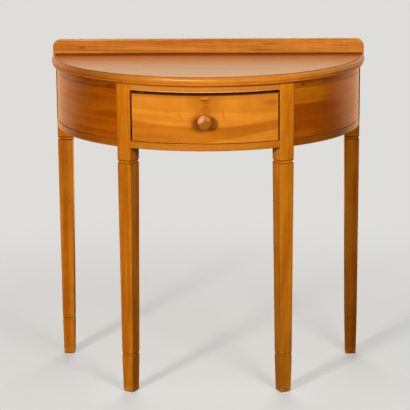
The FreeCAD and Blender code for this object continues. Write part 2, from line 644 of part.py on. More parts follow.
DOWEL_LEVELS = {"upper": "underside - upper_rail / 2", "lower": "apron_bottom + lower_rail / 2"}
for hand, side in SIDES:
    for name, level in DOWEL_LEVELS.items():
        leg_dowel(apron_rails[name, hand], apron_dowels, hand, side, "half_leg", "apron_dowel", level)
        for behind in ("rail_dowel_margin", "rail_dowel_margin + rail_dowel_pitch"):
            leg_dowel(front_rails[name], front_rail_dowels, hand, side, "-half_leg",
                      "apron_radius - (%s)" % behind, level)
        for body, kind, room in ((apron_rails[name, hand], "Subtractive", "fit_gap"),
                                 (apron_dowels, "Additive", "0")):
            turned(body, kind, "dowel", "Y", signed(side, "back_dowel_x"), "dowel_length / 2 - leg_size",
                   level, "dowel_length", "dowel_diameter / 2 + " + room)
        turned(back_legs[hand], "Subtractive", "dowel_hole", "Y", signed(side, "back_dowel_x - back_leg_x"),
               "dowel_length / 2 - half_leg", level, "dowel_length", "dowel_diameter / 2 + fit_gap")

# Drawer runners and kickers: bars let into the front rails and the back rail,
# with a side guide glued along each runner
kickers = {}
for hand, side in SIDES:
    bar_sides = spread(side, "runner_inner", "guide_inner")
    bar_range = ("-rail_back - housing_depth", "housing_depth - back_rail_face")
    for name, rail, low, height in (("runner", front_rails["lower"], "apron_bottom", "lower_rail"),
                                    ("kicker", front_rails["upper"], "kicker_low", "upper_rail")):
        bar = plank("drawer_%s_%s" % (name, hand), rectangle(*bar_sides, *bar_range), low, height)
        for carrier in (rail, back_rail):
            block(carrier, "Subtractive", name + "_housing", *bar_sides, *bar_range,
                  low, low + " + " + height)
        if name == "kicker":
            kickers[hand] = bar
    plank("drawer_guide_" + hand, rectangle(*spread(side, "guide_inner", "guide_inner + guide_width"),
                                            "guide_width - leg_corner_y", "-back_rail_face"),
          "apron_bottom", "lower_rail + guide_height")

# Drawer stops: two blocks on the lower front rail, behind the closed drawer front
stops = add_body("drawer_stops", scattered=True)
for hand, side in SIDES:
    block(stops, "Additive", "stop_" + hand, *spread(side, "stop_outer - stop_length", "stop_outer"),
          "-stop_face", "stop_width - stop_face", "runner_top", "runner_top + stop_height")

# Blocks under the top: one on each side of the back rail and one behind each apron
screw_spots = []
for hand, side in SIDES:
    back_block = plank("top_block_back_" + hand, rectangle(
        *spread(side, "back_block_outer - block_length", "back_block_outer"),
        "-back_rail_face - block_size", "-back_rail_face"), "underside - block_size", "block_size")
    screw_spots.append((back_block, signed(side, "back_block_outer - block_length / 2"),
                        "-back_rail_face - block_size / 2", "underside - block_size"))
    low_angle, high_angle = "(side_block_angle - side_block_half)", "(side_block_angle + side_block_half)"
    inner, outer = "(apron_inner - block_size)", "(apron_inner - fit_gap)"
    side_corners = [(*at_angle(outer, low_angle), "left", outer), at_angle(outer, high_angle),
                    at_angle(inner, high_angle), at_angle(inner, low_angle)]
    side_block = plank("top_block_side_" + hand, mirrored(side_corners, side),
                       "underside - block_size", "block_size")
    screw_spots.append((side_block, signed(side, "side_block_middle * sin(side_block_angle)"),
                        "-side_block_middle * cos(side_block_angle)", "underside - block_size"))
    for y in ("kicker_screw_margin - rail_back", "-back_rail_face - kicker_screw_margin"):
        screw_spots.append((kickers[hand], signed(side, "(runner_inner + guide_inner) / 2"), y, "kicker_low"))

# Screws of the top: countersunk from below through the blocks and the kickers
top_screws = add_body("top_screws", scattered=True)
for carrier, x, y, low in screw_spots:
    for body, kind, room in ((carrier, "Subtractive", "fit_gap"), (top, "Subtractive", "fit_gap"),
                             (top_screws, "Additive", "0")):
        turned(body, kind, "shank", "Z", x, y, low, "top_screw_length", "screw_diameter / 2 + " + room)
    for body, kind, room in ((carrier, "Subtractive", "fit_gap"), (top_screws, "Additive", "0")):
        turned(body, kind, "head", "Z", x, y, low, "(screw_head - screw_diameter) / 2",
               "screw_head / 2 + " + room, "screw_diameter / 2 + " + room)

# Drawer front: bowed like the rails, with its ends parallel to the legs' faces
front_gap = "-half_leg - drawer_gap_side"
face_end = at_leg("apron_radius", front_gap)
inner_end = at_leg("front_inner", front_gap)
drawer_front = plank("drawer_front", [
    ("-(%s)" % face_end[0], face_end[1], "left", "apron_radius"), face_end,
    (*inner_end, "right", "front_inner"), ("-(%s)" % inner_end[0], inner_end[1])],
    "drawer_low", "drawer_high - drawer_low")
ease(drawer_front, "edge_round", on_arc("apron_radius"))

# Drawer sides: each slides down into the front on a long dovetail
for hand, side in SIDES:
    neck_outer, neck_inner = "drawer_half - dovetail_neck", "drawer_inner + dovetail_neck"
    tail = [(neck_outer, "-sqrt(shoulder ^ 2 - (%s) ^ 2)" % neck_outer),
            ("drawer_half - dovetail_tip", "-dovetail_end"),
            ("drawer_inner + dovetail_tip", "-dovetail_end"),
            (neck_inner, "-sqrt(shoulder ^ 2 - (%s) ^ 2)" % neck_inner)]
    side_corners = [("drawer_half", "-side_end"), ("drawer_half", "-sqrt(shoulder ^ 2 - drawer_half ^ 2)"),
                    *tail, ("drawer_inner", "-sqrt(shoulder ^ 2 - drawer_inner ^ 2)"),
                    ("drawer_inner", "-side_end")]
    drawer_side = plank("drawer_side_" + hand, mirrored(side_corners, side),
                        "side_low", "drawer_high - side_low")
    socket = add_outline(drawer_front, "socket_" + hand, "XY_Plane", mirrored(tail, side), "drawer_low")
    pocket(drawer_front, socket, "drawer_high - drawer_low")
    groove_sides = spread(side, "drawer_inner", "drawer_inner + bottom_groove + bottom_play")
    block(drawer_side, "Subtractive", "bottom_groove", *groove_sides, "-dovetail_end", "-side_end",
          "bottom_low", "bottom_high + bottom_play")
    housing_sides = spread(side, "drawer_inner", "drawer_inner + back_housing")
    block(drawer_side, "Subtractive", "back_housing", *housing_sides,
          "-drawer_end - drawer_back_thickness", "-drawer_end", "bottom_high", "drawer_high")

# Drawer back: let into the sides, standing on the bottom
drawer_back_end = "drawer_inner + back_housing"
drawer_back = plank("drawer_back", rectangle("-(%s)" % drawer_back_end, drawer_back_end,
                                             "-drawer_end - drawer_back_thickness", "-drawer_end"),
                    "bottom_high", "drawer_high - bottom_high - drawer_back_drop")

# Drawer bottom: slid in from behind, bowed in front, held in grooves on three sides
bottom_end = "drawer_inner + bottom_groove"
bottom_front = "(front_inner + bottom_groove)"
bottom_corner = "-sqrt(%s ^ 2 - (%s) ^ 2)" % (bottom_front, bottom_end)
drawer_bottom = plank("drawer_bottom", [
    ("-(%s)" % bottom_end, bottom_corner, "left", bottom_front), (bottom_end, bottom_corner),
    (bottom_end, "-drawer_end"), ("-(%s)" % bottom_end, "-drawer_end")], "bottom_low", "bottom_thickness")
groove_front = "(front_inner + bottom_groove + bottom_play)"
groove_end = "(drawer_inner + dovetail_neck)"
groove_corner = "-sqrt(%s ^ 2 - %s ^ 2)" % (groove_front, groove_end)
groove_mouth = "-sqrt(shoulder ^ 2 - %s ^ 2)" % groove_end
groove_corners = [("-" + groove_end, groove_corner, "left", groove_front), (groove_end, groove_corner),
                  (groove_end, groove_mouth), ("-" + groove_end, groove_mouth)]
front_groove = add_outline(drawer_front, "bottom_groove", "XY_Plane", groove_corners, "bottom_low")
pocket(drawer_front, front_groove, "bottom_thickness + bottom_play")

# Screws of the drawer bottom: up into the drawer back's lower edge
bottom_screws = add_body("drawer_bottom_screws", scattered=True)
pin_y = "-drawer_end - drawer_back_thickness / 2"
for count in range(-1, 2):
    pin_x = "%d * pin_pitch" % count
    for body, kind, room in ((drawer_bottom, "Subtractive", "fit_gap"),
                             (drawer_back, "Subtractive", "fit_gap"), (bottom_screws, "Additive", "0")):
        turned(body, kind, "shank", "Z", pin_x, pin_y, "bottom_low", "pin_length",
               "pin_diameter / 2 + " + room)
    for body, kind, room in ((drawer_bottom, "Subtractive", "fit_gap"), (bottom_screws, "Additive", "0")):
        turned(body, kind, "head", "Z", pin_x, pin_y, "bottom_low", "(pin_head - pin_diameter) / 2",
               "pin_head / 2 + " + room, "pin_diameter / 2 + " + room)

# Knob: a turned mushroom on the middle of the drawer front
knob = add_body("drawer_knob")
knob_rim = "(knob_projection - knob_dome - knob_rim_radius)"
knob_edge = "(knob_diameter / 2 - knob_rim_radius)"
knob_cap = "((%s ^ 2 + knob_dome ^ 2) / (2 * knob_dome))" % knob_edge
knob_section = [
    ("0", "0"),
    ("0", "-knob_projection", "left", knob_cap),
    (knob_edge, "knob_dome - knob_projection", "left", "knob_rim_radius"),
    ("knob_diameter / 2", "-" + knob_rim, "left", "knob_rim_radius"),
    (knob_edge, "knob_rim_radius - " + knob_rim, "right", "2 * knob_neck_place"),
    ("knob_neck / 2", "-knob_neck_place", "right", "knob_neck_place"),
    ("knob_base / 2", "-knob_base_height"),
    ("knob_base / 2", "0"),
]
knob_sketch = add_outline(knob, "knob_section", "XY_Plane", knob_section)
knob_turn = knob.newObject("PartDesign::Revolution", "knob_turn")
knob_turn.Profile = knob_sketch
knob_turn.ReferenceAxis = (knob_sketch, ["V_Axis"])
knob_turn.Angle = 360
bind(knob, Placement__Base__y="arc_centre - apron_radius + knob_seat", Placement__Base__z="knob_height")
turned(drawer_front, "Subtractive", "knob_seat", "Y", "0", "knob_seat - apron_radius", "knob_height",
       "2 * knob_seat", "knob_base / 2 + fit_gap")

# Screw of the knob: from inside the drawer through the front
knob_screw = add_body("knob_screw")
screw_seat = "(front_inner + knob_seat)"
turned(knob_screw, "Additive", "shank", "Y", "0", "-" + screw_seat, "knob_height",
       "drawer_front_thickness - 2 * knob_seat + knob_screw_grip", "knob_screw_diameter / 2")
turned(knob_screw, "Additive", "head", "Y", "0", "knob_screw_head_height - " + screw_seat, "knob_height",
       "knob_screw_head_height", "knob_screw_head / 2")
turned(drawer_front, "Subtractive", "screw_seat", "Y", "0", "knob_seat - front_inner", "knob_height",
       "2 * knob_seat", "knob_screw_head / 2 + fit_gap")
turned(drawer_front, "Subtractive", "screw_hole", "Y", "0", "-front_inner", "knob_height",
       "drawer_front_thickness", "knob_screw_diameter / 2 + fit_gap")
turned(knob, "Subtractive", "thread", "Y", "0", "0", "0", "knob_screw_grip + fit_gap",
       "knob_screw_diameter / 2 + fit_gap")

doc.recompute()
for item in doc.Objects:
    if {"Invalid", "Error"} & set(item.State):
        raise ValueError(item.Name + " failed: " + ", ".join(item.State))
    if item.TypeId.startswith(("PartDesign::Subtractive", "PartDesign::Pocket")):
        if item.Shape.Volume >= item.BaseFeature.Shape.Volume:
            raise ValueError(item.Name + " cuts nothing")
for node in nodes:
    if node.Shape.isNull() or not node.Shape.isValid():
        raise ValueError(node.Label + " has no valid shape")

os.makedirs("parts", exist_ok=True)
for node in nodes:
    node.Shape.exportStep("parts/%s.step" % node.Label)
    box = node.Shape.BoundBox
    print("%-24s solids %d  volume %.0f  x %.1f %.1f  y %.1f %.1f  z %.1f %.1f" % (
        node.Label, len(node.Shape.Solids), node.Shape.Volume,
        box.XMin, box.XMax, box.YMin, box.YMax, box.ZMin, box.ZMax))
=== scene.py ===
import bmesh
import bpy
import math
from mathutils import Matrix, Vector


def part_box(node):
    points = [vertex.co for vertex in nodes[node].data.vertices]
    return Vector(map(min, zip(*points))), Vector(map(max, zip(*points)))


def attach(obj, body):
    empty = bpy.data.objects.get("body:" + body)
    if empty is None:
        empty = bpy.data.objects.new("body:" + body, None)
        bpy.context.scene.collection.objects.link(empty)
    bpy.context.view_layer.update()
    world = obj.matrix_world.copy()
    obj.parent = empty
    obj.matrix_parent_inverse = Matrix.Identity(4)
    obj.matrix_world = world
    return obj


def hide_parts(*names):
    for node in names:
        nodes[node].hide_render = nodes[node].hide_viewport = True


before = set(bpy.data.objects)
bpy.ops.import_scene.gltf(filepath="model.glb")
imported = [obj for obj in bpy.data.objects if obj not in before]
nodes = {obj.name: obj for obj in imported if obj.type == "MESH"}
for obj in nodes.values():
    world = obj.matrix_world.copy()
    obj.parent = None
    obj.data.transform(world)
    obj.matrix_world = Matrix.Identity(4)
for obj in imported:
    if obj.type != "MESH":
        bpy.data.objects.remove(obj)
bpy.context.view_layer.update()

# Legs: four square tapered posts of solid timber, stained warm honey brown and lacquered.
# They are sawn, planed to their taper and cut with a cove at the collar and at the ankle.
# The fibres run straight up, and the feet are chipped pale. Painted shade darkens the wood below the heads
# and near the feet, and the dark lines at the lips of the coves are partly stain and partly painted shade.


def tint(red, green, blue):
    """A colour written as a screen shows it, from 0 to 255, for a shader."""
    shares = [value / 255 for value in (red, green, blue)]
    linear = [share / 12.92 if share <= 0.04045 else ((share + 0.055) / 1.055) ** 2.4 for share in shares]
    return linear + [1]


def fill(tree, node, inputs):
    """Sets a node's inputs, by name or place, to numbers, colours or other nodes' sockets."""
    for key, value in inputs.items():
        if isinstance(value, bpy.types.NodeSocket):
            tree.links.new(value, node.inputs[key])
        else:
            node.inputs[key].default_value = value
    return node


def put(tree, kind, inputs, **settings):
    """Adds a shader node with its settings and inputs."""
    node = tree.nodes.new("ShaderNode" + kind)
    for name, value in settings.items():
        setattr(node, name, value)
    return fill(tree, node, inputs)


def work(tree, operation, *values):
    """A Math node's result."""
    return put(tree, "Math", dict(enumerate(values)), operation=operation).outputs[0]


def apart(tree, value, level):
    """How far a value lies from a level, either way."""
    return work(tree, "ABSOLUTE", work(tree, "SUBTRACT", value, level))


def ramp(tree, value, low, high, start=0.0, end=1.0):
    """A smooth change from start to end while the value goes from low to high."""
    inputs = {"Value": value, "From Min": low, "From Max": high, "To Min": start, "To Max": end}
    return put(tree, "MapRange", inputs, interpolation_type="SMOOTHSTEP").outputs["Result"]


def blend_colour(tree, share, first, second, way="MIX"):
    """Two colours mixed, by a share from 0 to 1."""
    inputs = {0: share, 6: first, 7: second}
    return put(tree, "Mix", inputs, data_type="RGBA", blend_type=way).outputs[2]


def darken_wood(tree, share, colour, shade):
    """A colour multiplied by a shade, by a share from 0 to 1."""
    return blend_colour(tree, share, colour, tint(*shade), "MULTIPLY")


def add_group(name, inputs, outputs):
    """An empty shader group with named sockets, with what it is given and what it gives back."""
    group = bpy.data.node_groups.new(name, "ShaderNodeTree")
    for way, sockets in (("INPUT", inputs), ("OUTPUT", outputs)):
        for socket, kind in sockets.items():
            group.interface.new_socket(socket, in_out=way, socket_type="NodeSocket" + kind)
    given = group.nodes.new("NodeGroupInput").outputs
    result = group.nodes.new("NodeGroupOutput").inputs
    return group, given, result


def use_group(tree, group, inputs):
    """Places a shader group in a tree."""
    node = tree.nodes.new("ShaderNodeGroup")
    node.node_tree = group
    return fill(tree, node, inputs).outputs


def streaks(tree, along, stretch, detail, rough=0.5, warp=0.0):
    """Noise drawn out along the fibres. Stretch holds its features per metre along and across."""
    scale = (stretch[0], stretch[1], stretch[1])
    place = put(tree, "VectorMath", {0: along, 1: scale}, operation="MULTIPLY").outputs[0]
    inputs = {"Vector": place, "Scale": 1.0, "Detail": detail, "Roughness": rough, "Distortion": warp}
    return put(tree, "TexNoise", inputs).outputs["Fac"]


ring_lean, ring_part, fine_part, ripple_part, pore_part = 0.08, 0.35, 0.26, 0.14, -0.3
plain_rough, fine_rough, pore_rough = 0.3, 0.07, 0.12


def make_grain():
    """A group that draws wood. Along holds metres along the fibres, across them and into the board."""
    group, given, result = add_group(
        "wood_grain",
        {"Along": "Vector", "Pale": "Color", "Deep": "Color", "Figure": "Float", "Blotch": "Float"},
        {"Colour": "Color", "Roughness": "Float", "Relief": "Float"})
    along = given["Along"]
    parts = put(group, "SeparateXYZ", {0: along}).outputs
    lean = work(group, "MULTIPLY", parts["X"], ring_lean)
    ring_place = put(group, "CombineXYZ", {0: lean, 1: parts["Y"], 2: work(group, "ADD", parts["Z"], lean)})
    rings = put(group, "TexWave", {"Vector": ring_place.outputs[0], "Scale": 48, "Distortion": 5, "Detail": 2,
                                   "Detail Scale": 1.0, "Detail Roughness": 0.55},
                wave_type="RINGS", rings_direction="X", wave_profile="SAW").outputs["Fac"]
    bands = ramp(group, streaks(group, along, (2.2, 70), 3, 0.55, 0.5), 0.3, 0.7)
    fine = ramp(group, streaks(group, along, (9, 420), 3, 0.6), 0.28, 0.72)
    blotch = ramp(group, streaks(group, along, (8, 24), 2, 0.55, 0.3), 0.28, 0.72)
    ripple = ramp(group, streaks(group, along, (60, 22), 1, 0.5, 0.4), 0.3, 0.7)
    pores = ramp(group, streaks(group, along, (38, 1500), 1), 0.64, 0.78)
    figure = work(group, "MULTIPLY_ADD", work(group, "SUBTRACT", rings, 0.5), ring_part, bands)
    share = 0.5
    for layer, part in ((figure, given["Figure"]), (blotch, given["Blotch"]),
                        (fine, fine_part), (ripple, ripple_part)):
        share = work(group, "MULTIPLY_ADD", work(group, "SUBTRACT", layer, 0.5), part, share)
    share = work(group, "MULTIPLY_ADD", pores, pore_part, share)
    bounded = put(group, "Clamp", {"Value": share}).outputs[0]
    colour = blend_colour(group, bounded, given["Deep"], given["Pale"])
    rough = work(group, "MULTIPLY_ADD", pores, pore_rough, plain_rough)
    rough = work(group, "MULTIPLY_ADD", fine, fine_rough, rough)
    relief = work(group, "MULTIPLY_ADD", pores, -1.0, work(group, "MULTIPLY", fine, 0.5))
    group.links.new(colour, result["Colour"])
    group.links.new(rough, result["Roughness"])
    group.links.new(relief, result["Relief"])
    return group


wood_grain = make_grain()


def new_finish(name):
    """An empty material: its node tree, its shader and the piece's own coordinates."""
    material = bpy.data.materials.new(name)
    material.use_nodes = True
    tree = material.node_tree
    return material, tree, tree.nodes["Principled BSDF"], put(tree, "TexCoord", {}).outputs["Object"]


def draw_wood(tree, shader, along, pale, deep, figure, blotch):
    """Wood on a shader, between a pale and a deep colour. Returns its colour's socket."""
    grain = use_group(tree, wood_grain, {"Along": along, "Pale": tint(*pale), "Deep": tint(*deep),
                                         "Figure": figure, "Blotch": blotch})
    bump = put(tree, "Bump", {"Height": grain["Relief"], "Strength": 0.12, "Distance": 0.0004})
    fill(tree, shader, {"Base Color": grain["Colour"], "Roughness": grain["Roughness"],
                        "Normal": bump.outputs["Normal"], "Specular IOR Level": 0.1})
    return grain["Colour"]


def lay_lacquer(tree, shader, rough=0.22, index=1.4):
    """A coat of clear lacquer on a shader, with its roughness and its refraction index."""
    fill(tree, shader, {"Coat Weight": 1.0, "Coat Roughness": rough, "Coat IOR": index})


def finish_nodes(material, names):
    """Gives a finish to the pieces of those names."""
    for name in names:
        nodes[name].material_slots[0].material = material


def along_axis(tree, place, axis, shift=(0, 0, 0)):
    """The piece's coordinates with the fibres along x, y or z first."""
    turns = {"x": (0, 0, 0), "y": (0, 0, -math.pi / 2), "z": (0, math.pi / 2, 0)}
    inputs = {"Vector": place, "Location": shift, "Rotation": turns[axis]}
    return put(tree, "Mapping", inputs).outputs[0]


# All bowed pieces bend round one upright line at the face of the gallery board.
back_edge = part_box("back_upstand")[0].y
bend_radius = 0.388


def make_bend():
    """A group that rolls out a bowed board: Along runs round the bend, up, and out from its face."""
    group, given, result = add_group("bent_board", {"Place": "Vector", "Back": "Float", "Radius": "Float"},
                                     {"Along": "Vector"})
    parts = put(group, "SeparateXYZ", {0: given["Place"]}).outputs
    forwards = work(group, "SUBTRACT", given["Back"], parts["Y"])
    angle = work(group, "ARCTAN2", parts["X"], forwards)
    across = work(group, "MULTIPLY", parts["X"], parts["X"])
    reach = work(group, "SQRT", work(group, "MULTIPLY_ADD", forwards, forwards, across))
    along = put(group, "CombineXYZ", {0: work(group, "MULTIPLY", angle, given["Radius"]), 1: parts["Z"],
                                      2: work(group, "SUBTRACT", reach, given["Radius"])})
    group.links.new(along.outputs[0], result["Along"])
    return group


bent_board = make_bend()


def along_bend(tree, place):
    """The piece's coordinates rolled out from the bend."""
    inputs = {"Place": place, "Back": back_edge, "Radius": bend_radius}
    return use_group(tree, bent_board, inputs)["Along"]


collar_height, collar_half = 0.585, 0.0036
ankle_height, ankle_half, ankle_lip_darkness = 0.0985, 0.0026, 0.35
cove_fade, lip_core, lip_fade, lip_shade = 0.0014, 0.0003, 0.0017, (104, 66, 22)
chip_bottom, chip_top, chip_strength, chip_scale, chip_colour = 0.002, 0.022, 0.7, 110.0, (214, 146, 78)


def make_leg_finish(name, pale, deep, shaft_painted_shade, toe_painted_shade, collar_lip_darkness):
    """Stained wood for upright legs. Returns the material, its tree, shader and colour, and its coordinates.

    Shaft and toe are painted shade: they darken the wood below the head and that near the ground.
    The collar strength sets the dark lines at the upper cove's lips, partly stain and partly painted shade.
    """
    material, tree, shader, place = new_finish(name)
    colour = draw_wood(tree, shader, along_axis(tree, place, "z"), pale, deep, 1.0, 0.6)
    lay_lacquer(tree, shader)
    up = put(tree, "SeparateXYZ", {0: place}).outputs["Z"]
    # Painted shade: the wood below the head and near the ground is darkened.
    for shade, low, high in ((shaft_painted_shade, 0.62, 0.70), (toe_painted_shade, 0.08, 0.30)):
        colour = darken_wood(tree, ramp(tree, up, low, high, 1.0, 0.0), colour, shade)
    dull = 0.0
    # Dark lines at the lips of each cove: partly stain gathered there, partly painted shade under the lips.
    for height, half, strength in ((collar_height, collar_half, collar_lip_darkness),
                                   (ankle_height, ankle_half, ankle_lip_darkness)):
        away = apart(tree, up, height)
        dull = work(tree, "MAXIMUM", dull, ramp(tree, away, half, half + cove_fade, 1.0, 0.0))
        lip = ramp(tree, apart(tree, away, half), lip_core, lip_fade, strength, 0.0)
        colour = darken_wood(tree, lip, colour, lip_shade)
    chips = put(tree, "TexNoise", {"Vector": place, "Scale": chip_scale, "Detail": 2.0}).outputs["Fac"]
    worn = ramp(tree, up, chip_bottom, chip_top, chip_strength, 0.0)
    worn = work(tree, "MULTIPLY", worn, ramp(tree, chips, 0.46, 0.58))
    colour = blend_colour(tree, worn, colour, tint(*chip_colour))
    fill(tree, shader, {"Base Color": colour, "Coat Weight": work(tree, "SUBTRACT", 1.0, dull)})
    return material, tree, shader, colour, place


# The heads of the front legs get painted shade behind the bowed face, where they line the drawer's opening.
# The shafts and the right leg's foot are darkened as painted shade, each leg by its own amount.
inside_depth, inside_foot, opening_painted_shade = (-0.0060, -0.0024), (0.6380, 0.6400), (84, 44, 10)
for hand, shaft_painted_shade, toe_painted_shade in (("left", (237, 235, 236), (255, 255, 255)),
                         ("right", (243, 244, 244), (236, 236, 230))):
    leg_finish, leg_tree, leg_shader, leg_colour, leg_place = make_leg_finish(
        "stained_front_leg_" + hand, (226, 137, 24), (197, 108, 12), shaft_painted_shade, toe_painted_shade, 0.65)
    leg_parts = put(leg_tree, "SeparateXYZ", {0: along_bend(leg_tree, leg_place)}).outputs
    leg_opening_shade = work(leg_tree, "MULTIPLY", ramp(leg_tree, leg_parts["Z"], *inside_depth, 0.9, 0.0),
                      ramp(leg_tree, leg_parts["Y"], *inside_foot))
    fill(leg_tree, leg_shader, {"Base Color": darken_wood(leg_tree, leg_opening_shade, leg_colour, opening_painted_shade)})
    finish_nodes(leg_finish, ["leg_front_" + hand])

# The back legs take the ends of the apron panels. Painted shade draws a dark line along the open joint there.
# The right back leg's colours are darker than the left's as painted shade.
open_side, open_front = (0.3828, 0.3840), (0.1612, 0.1640)
open_foot, open_joint_painted_shade = (0.6370, 0.6400), (110, 76, 30)
for hand, pale, deep in (("left", (228, 134, 22), (194, 102, 10)), ("right", (202, 117, 14), (170, 88, 6))):
    leg_finish, leg_tree, leg_shader, leg_colour, leg_place = make_leg_finish(
        "stained_back_leg_" + hand, pale, deep, (250, 250, 250), (255, 255, 250), 0.95)
    leg_parts = put(leg_tree, "SeparateXYZ", {0: leg_place}).outputs
    leg_outside = ramp(leg_tree, work(leg_tree, "ABSOLUTE", leg_parts["X"]), *open_side)
    leg_front = ramp(leg_tree, leg_parts["Y"], *open_front, 1.0, 0.0)
    leg_above = ramp(leg_tree, leg_parts["Z"], *open_foot)
    leg_joint_painted_shade = work(leg_tree, "MULTIPLY", work(leg_tree, "MULTIPLY", leg_outside, leg_front), leg_above)
    fill(leg_tree, leg_shader, {"Base Color": darken_wood(leg_tree, leg_joint_painted_shade, leg_colour, open_joint_painted_shade)})
    finish_nodes(leg_finish, ["leg_back_" + hand])

# Back rail: a plain straight board behind the drawer, tenoned into the back legs.
# It is of the same timber, stained like the legs, with its fibres from side to side.


def finish_straight(name, axis, pale, deep, figure, blotch, names):
    """Wood with its fibres along an axis, for straight pieces. Returns its tree and its shader."""
    material, tree, shader, place = new_finish(name)
    draw_wood(tree, shader, along_axis(tree, place, axis), pale, deep, figure, blotch)
    finish_nodes(material, names)
    return tree, shader


rail_tree, rail_shader = finish_straight("stained_back_rail", "x", (190, 106, 24), (154, 78, 12), 0.8, 0.5,
                                         ["back_rail"])
lay_lacquer(rail_tree, rail_shader, 0.3, 1.35)

# Apron rails and front rails: bent and bowed strips over and under the panels and the drawer,
# doweled into the legs. The fibres follow the bend, so the grain is drawn along the arc.
# Their joints with the panels show as fine dark lines.
# The upper front rail has a painted highlight along its lower edge.


def make_mark():
    """A group for a soft oval mark on a rolled-out board, by its middle, half axes and turn."""
    group, given, result = add_group(
        "soft_mark", {"Place": "Vector", "Middle": "Vector", "Size": "Vector", "Turn": "Vector"},
        {"Share": "Float"})
    local = put(group, "Mapping", {"Vector": given["Place"], "Location": given["Middle"],
                                   "Rotation": given["Turn"], "Scale": given["Size"]}, vector_type="TEXTURE")
    flat = put(group, "VectorMath", {0: local.outputs[0], 1: (1, 1, 0)}, operation="MULTIPLY").outputs[0]
    reach = put(group, "VectorMath", {0: flat}, operation="LENGTH").outputs["Value"]
    group.links.new(ramp(group, reach, 0.2, 1.0, 1.0, 0.0), result["Share"])
    return group


soft_mark = make_mark()


def add_mark(tree, colour, place, middle, size, shade, strength, turn=0.0, way="MULTIPLY"):
    """A colour with a soft oval mark. Its shade multiplies the wood or mixes with it, up to that strength."""
    inputs = {"Place": place, "Middle": (*middle, 0), "Size": (*size, 1), "Turn": (0, 0, turn)}
    share = work(tree, "MULTIPLY", use_group(tree, soft_mark, inputs)["Share"], strength)
    return blend_colour(tree, share, colour, tint(*shade), way)


def finish_bent(node, pale, deep, figure, marks):
    """Stained and lacquered wood along the bend, for one bowed board.

    Each mark lists what add_mark takes from the middle on.
    """
    material, tree, shader, place = new_finish("stained_" + node)
    along = along_bend(tree, place)
    colour = draw_wood(tree, shader, along, pale, deep, figure, 0.45)
    for mark in marks:
        colour = add_mark(tree, colour, along, *mark)
    fill(tree, shader, {"Base Color": colour})
    lay_lacquer(tree, shader)
    finish_nodes(material, [node])


upper_joint, lower_joint, joint_half, joint_shade = 0.7624, 0.6386, 0.0014, (84, 44, 10)
# The upper front rail's pale mark along its lower edge is a painted highlight.
finish_bent("front_rail_upper", (220, 136, 52), (194, 112, 30), 0.6,
            [((0.0, 0.7626), (0.26, 0.0022), (246, 190, 136), 0.8, 0.0, "MIX")])
finish_bent("front_rail_lower", (210, 126, 34), (184, 104, 16), 0.6, [])
# The upper left rail is coloured darker, partly as painted shade under the top's overhang.
finish_bent("apron_rail_upper_left", (166, 83, 9), (120, 52, 3), 0.7,
            [((-0.245, 0.768), (0.02, 0.006), (190, 160, 120), 0.8),
             ((-0.30, upper_joint), (0.11, joint_half), (150, 110, 70), 0.6)])
finish_bent("apron_rail_upper_right", (215, 121, 22), (165, 80, 10), 0.7,
            [((0.2516, 0.7697), (0.007, 0.0045), (110, 80, 60), 0.8, 0.15),
             ((0.26, 0.769), (0.06, 0.009), (200, 170, 130), 0.7),
             ((0.42, 0.770), (0.16, 0.013), (204, 176, 116), 0.9),
             ((0.27, upper_joint), (0.08, joint_half), (110, 70, 30), 0.8)])
finish_bent("apron_rail_lower_left", (192, 104, 12), (146, 70, 4), 0.7,
            [((-0.47, lower_joint), (0.20, joint_half), joint_shade, 0.9)])
finish_bent("apron_rail_lower_right", (172, 94, 14), (126, 60, 4), 0.7,
            [((0.52, lower_joint), (0.14, joint_half), joint_shade, 0.9)])

# Apron panels: thin curved boards tongued between the apron rails, stained like them.
# The left one is an even red brown. The right one is gold above and dark red brown below,
# with a border that is sharp near the front leg and fades along the board.
# The ends of both panels next to the back legs are darkened as painted shade.
end_start, end_full = 0.45, 0.50
left_finish, left_tree, left_shader, left_place = new_finish("stained_panel_left")
left_along = along_bend(left_tree, left_place)
left_colour = draw_wood(left_tree, left_shader, left_along, (186, 94, 4), (152, 70, 0), 0.7, 0.5)
left_side = put(left_tree, "SeparateXYZ", {0: left_along}).outputs["X"]
left_end_painted_shade = ramp(left_tree, left_side, -end_full, -end_start, 1.0, 0.0)
fill(left_tree, left_shader, {"Base Color": darken_wood(left_tree, left_end_painted_shade, left_colour, (236, 240, 240))})
lay_lacquer(left_tree, left_shader)
finish_nodes(left_finish, ["apron_panel_left"])

border_height, border_fall, border_wave = 0.7289, -0.024, 0.006
border_sharp, border_soft = 0.0008, 0.014
right_finish, right_tree, right_shader, right_place = new_finish("stained_panel_right")
right_along = along_bend(right_tree, right_place)
right_colour = draw_wood(right_tree, right_shader, right_along, (206, 118, 12), (180, 94, 4), 0.5, 0.5)
right_parts = put(right_tree, "SeparateXYZ", {0: right_along}).outputs
right_level = work(right_tree, "MULTIPLY_ADD", right_parts["X"], border_fall, border_height - border_wave / 2)
right_noise = streaks(right_tree, right_along, (6, 40), 2)
right_level = work(right_tree, "MULTIPLY_ADD", right_noise, border_wave, right_level)
right_drop = work(right_tree, "SUBTRACT", right_level, right_parts["Y"])
right_soft = ramp(right_tree, right_parts["X"], 0.26, 0.46, border_sharp, border_soft)
right_share = work(right_tree, "MULTIPLY_ADD", work(right_tree, "DIVIDE", right_drop, right_soft), 0.5, 0.5)
right_heart = put(right_tree, "Clamp", {"Value": right_share}).outputs[0]
right_fade = ramp(right_tree, right_parts["X"], 0.28, 0.42, 1.0, 0.4)
right_heart = work(right_tree, "MULTIPLY", right_heart, right_fade)
right_colour = darken_wood(right_tree, right_heart, right_colour, (212, 180, 120))
